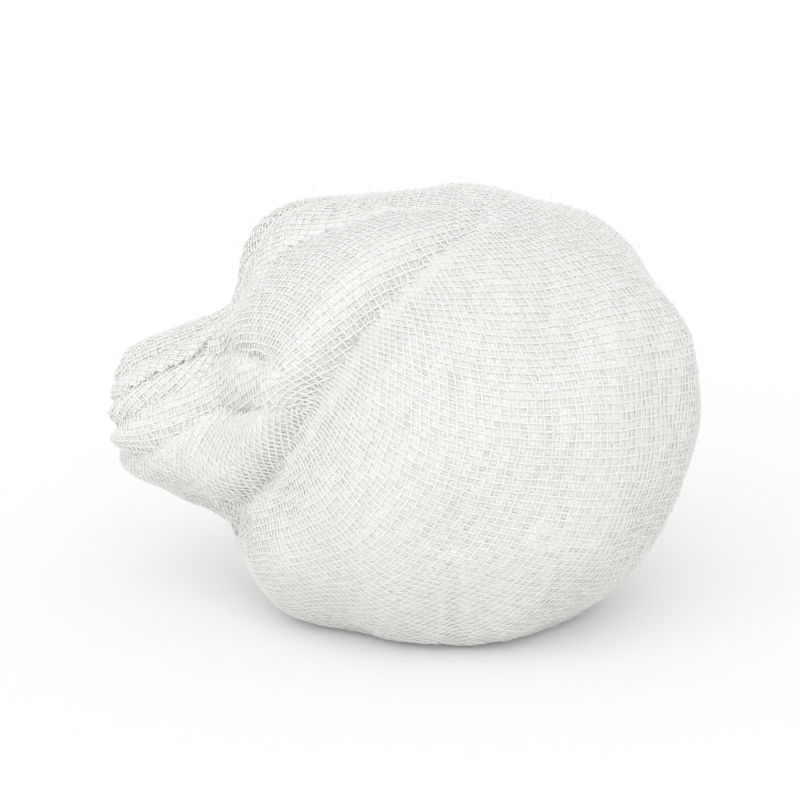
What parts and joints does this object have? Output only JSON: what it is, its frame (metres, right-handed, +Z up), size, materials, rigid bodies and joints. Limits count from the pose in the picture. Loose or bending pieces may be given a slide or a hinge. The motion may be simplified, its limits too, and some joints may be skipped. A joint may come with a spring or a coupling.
{
  "type": "gauze swab",
  "caption": "Soft round swab of white woven cotton gauze, folded into a ball with its edges gathered at the side, twisted and tucked in.",
  "frame": {"origin": "middle of the flat spot that the ball rests on", "axes": "+Z up; +X from the gathered neck towards the round belly, the swab's longest way; -Y is the front"},
  "size_m": [0.0521, 0.0449, 0.0375],
  "materials": {
    "gauze": "matte bleached cotton, open plain weave"
  },
  "bodies": {
    "root": {"gauze_swab": "gauze"}
  },
  "joints": []
}
